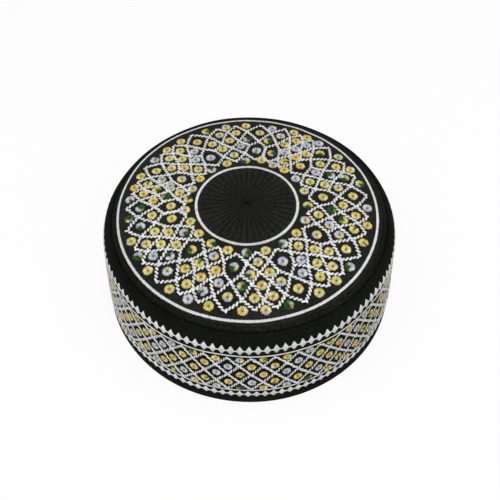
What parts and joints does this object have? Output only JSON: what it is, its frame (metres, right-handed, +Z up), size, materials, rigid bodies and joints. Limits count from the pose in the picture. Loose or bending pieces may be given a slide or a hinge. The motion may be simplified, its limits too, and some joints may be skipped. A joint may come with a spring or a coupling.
{
  "type": "prayer cap",
  "caption": "Round flat-topped prayer cap of padded black cotton, embroidered on its crown and side band with a white lattice and coloured eyelets; hollow for the head.",
  "frame": {"origin": "middle of the flat ring of the hem on which the cap stands", "axes": "+Z up through the middle of the crown, -Y towards the viewer of the front"},
  "size_m": [0.1858, 0.1858, 0.0723],
  "materials": {
    "black_cotton": "matt, fine twill",
    "hem_cotton": "matt, folded twill",
    "white_thread": "satin stitched thread",
    "variegated_thread": "glossy embroidery thread dyed yellow, silver and green along its length",
    "black_thread": "sewing thread"
  },
  "bodies": {
    "root": {"crown_panel": "black_cotton", "side_band": "black_cotton", "hem_band": "hem_cotton"}
  },
  "joints": []
}
